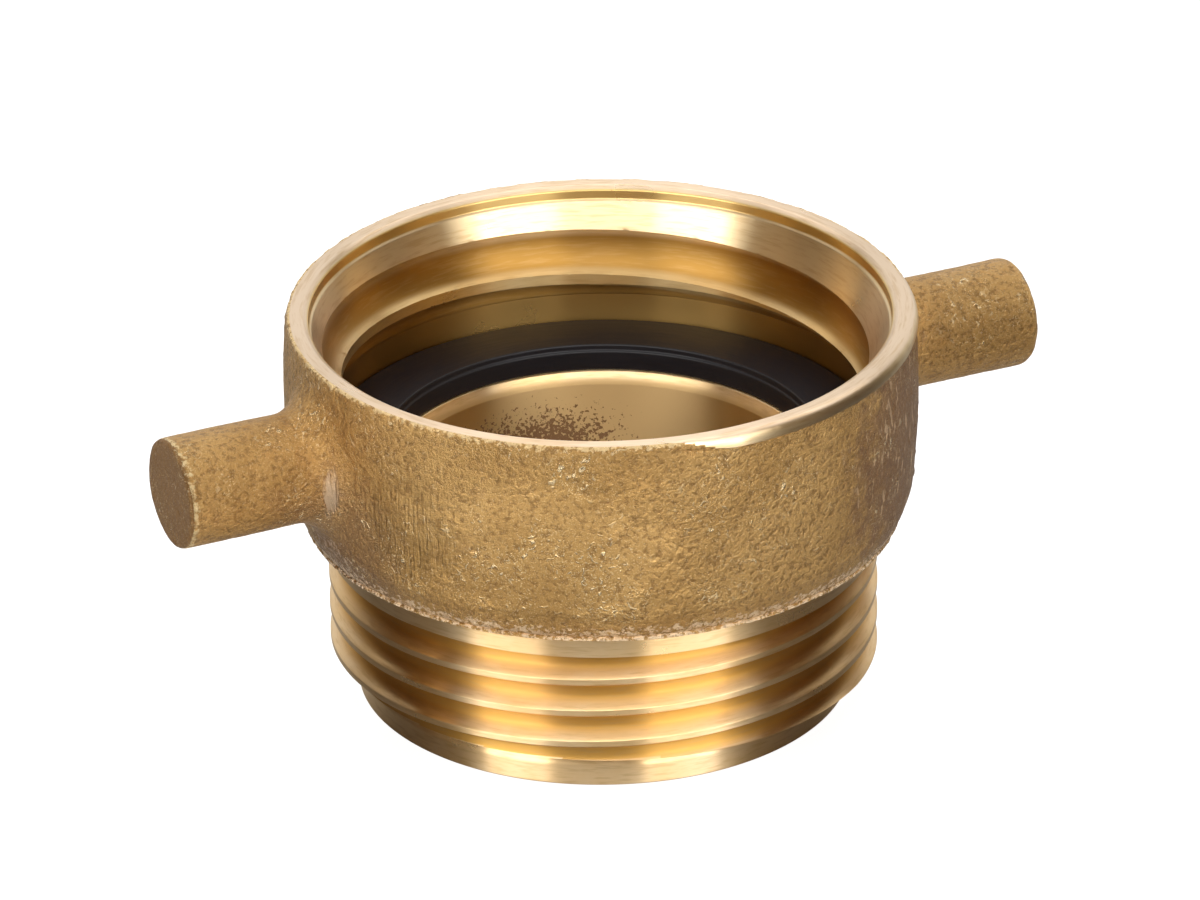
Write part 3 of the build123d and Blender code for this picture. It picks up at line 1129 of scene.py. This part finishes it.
def softbox(name, azimuth_deg, elevation_deg, distance, size, radiance):
    """A rectangular area lamp that faces the part, placed round it from the camera's azimuth."""
    _, _, back = camera_axes(CAMERA_AZIMUTH_DEG + azimuth_deg, elevation_deg)
    data = bpy.data.lights.new(name, "AREA")
    data.shape = "RECTANGLE"
    data.size, data.size_y = size
    data.energy = radiance * math.pi * size[0] * size[1]
    lamp = bpy.data.objects.new(name, data)
    lamp.location = LAMP_AIM + back * distance
    lamp.rotation_mode = "QUATERNION"
    lamp.rotation_quaternion = back.to_track_quat("Z", "Y")
    bpy.context.scene.collection.objects.link(lamp)


def make_world():
    """White to the camera; for reflections, a white backdrop behind the part in a dim warm room."""
    world = bpy.data.worlds.new("studio")
    world.use_nodes = True
    bpy.context.scene.world = world
    nodes = Nodes(world.node_tree)
    _, _, back = camera_axes(CAMERA_AZIMUTH_DEG, 0)
    direction = nodes.add("ShaderNodeTexCoord").outputs["Generated"]
    heading = nodes.vector_math("NORMALIZE", nodes.vector_math("MULTIPLY", direction, (1, 1, 0)))
    facing = nodes.vector_math("DOT_PRODUCT", heading, -back)
    share = nodes.map_range(facing, -1, 1, "LINEAR")
    room = world.node_tree.nodes["Background"]
    nodes.fill(room.inputs["Color"], nodes.ramp(share, ROOM_COLOURS))
    white = nodes.add("ShaderNodeBackground")
    nodes.fill(white.inputs["Color"], (1, 1, 1))
    either = nodes.add("ShaderNodeMixShader")
    nodes.fill(either.inputs[0], nodes.add("ShaderNodeLightPath").outputs["Is Camera Ray"])
    nodes.fill(either.inputs[1], room.outputs[0])
    nodes.fill(either.inputs[2], white.outputs[0])
    nodes.fill(world.node_tree.nodes["World Output"].inputs["Surface"], either.outputs[0])


def make_floor():
    """A plain pale table top that stays white to the camera and takes a soft shadow."""
    bpy.ops.mesh.primitive_plane_add(size=FLOOR_SIZE)
    floor = bpy.context.object
    floor.name = "floor"
    material, nodes, shader = new_material("floor")
    nodes.fill(shader.inputs["Base Color"], FLOOR_GREY)
    shader.inputs["Metallic"].default_value = FLOOR_METALLIC
    shader.inputs["Roughness"].default_value = FLOOR_ROUGHNESS
    nodes.fill(shader.inputs["Emission Color"], (1, 1, 1))
    camera_ray = nodes.add("ShaderNodeLightPath").outputs["Is Camera Ray"]
    nodes.fill(shader.inputs["Emission Strength"], nodes.times(camera_ray, FLOOR_LIFT))
    floor.data.materials.append(material)


brass_slots = [turned_brass(), cast_brass()]
rubber_slots = [black_rubber()]

body_pieces = [
    make_collar(brass_slots),
    make_spigot(brass_slots),
    make_lug("right_lug", 1, RIGHT_TIP_ROUND, brass_slots),
    make_lug("left_lug", -1, LEFT_TIP_ROUND, brass_slots),
]
for piece in body_pieces:
    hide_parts("coupling_body")

washer = make_washer(rubber_slots)
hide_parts("sealing_washer")

make_camera()
make_world()
make_floor()
for lamp_name, lamp_settings in SOFTBOXES.items():
    softbox(lamp_name, *lamp_settings)
bpy.context.scene.view_settings.view_transform = "Standard"
